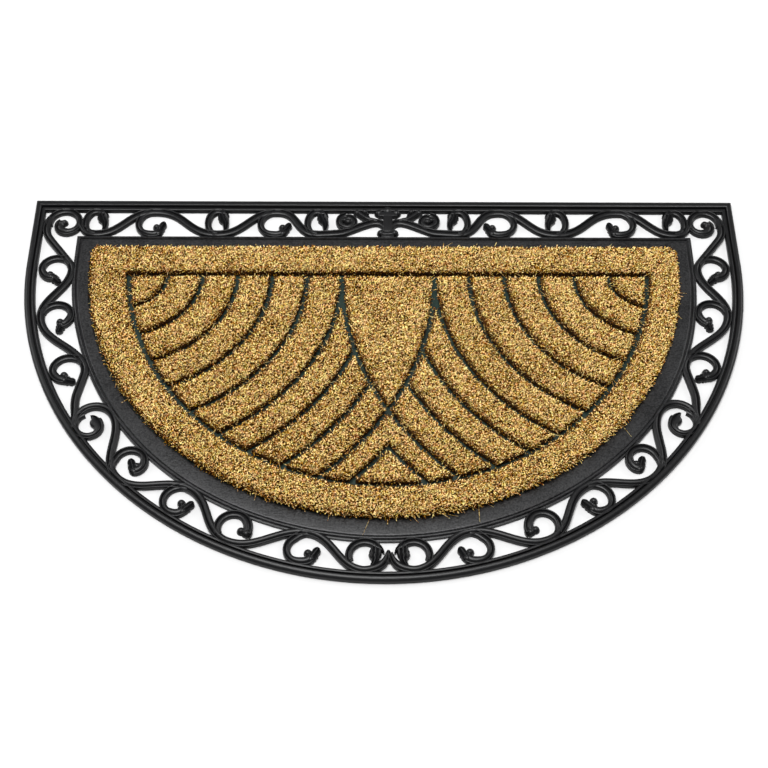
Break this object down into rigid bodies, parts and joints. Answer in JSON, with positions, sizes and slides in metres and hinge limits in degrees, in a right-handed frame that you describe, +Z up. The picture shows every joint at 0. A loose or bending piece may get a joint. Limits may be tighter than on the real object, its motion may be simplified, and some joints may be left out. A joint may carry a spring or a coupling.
{
  "type": "half round doormat",
  "caption": "Half round doormat with raised coir pile in curved panels, set in a moulded rubber frame with an openwork scroll border.",
  "frame": {"origin": "centre of the underside, midway between the straight edge and the curve's middle", "axes": "+X along the straight edge, +Y towards the straight edge, +Z up out of the pile"},
  "size_m": [0.762, 0.469, 0.0125],
  "materials": {
    "rubber": "black moulded rubber, satin, slightly grainy",
    "coir": "natural coir pile, golden brown, matt and bristly"
  },
  "bodies": {
    "root": {"rubber_frame": "rubber", "coir_border": "coir", "coir_left_1": "coir", "coir_left_2": "coir", "coir_left_3": "coir", "coir_left_4": "coir", "coir_left_5": "coir", "coir_left_6": "coir", "coir_left_7": "coir", "coir_left_8": "coir", "coir_left_9": "coir", "coir_right_1": "coir", "coir_right_2": "coir", "coir_right_3": "coir", "coir_right_4": "coir", "coir_right_5": "coir", "coir_right_6": "coir", "coir_right_7": "coir", "coir_right_8": "coir", "coir_right_9": "coir", "coir_petal": "coir", "coir_chevron": "coir", "coir_foot": "coir"}
  },
  "joints": []
}
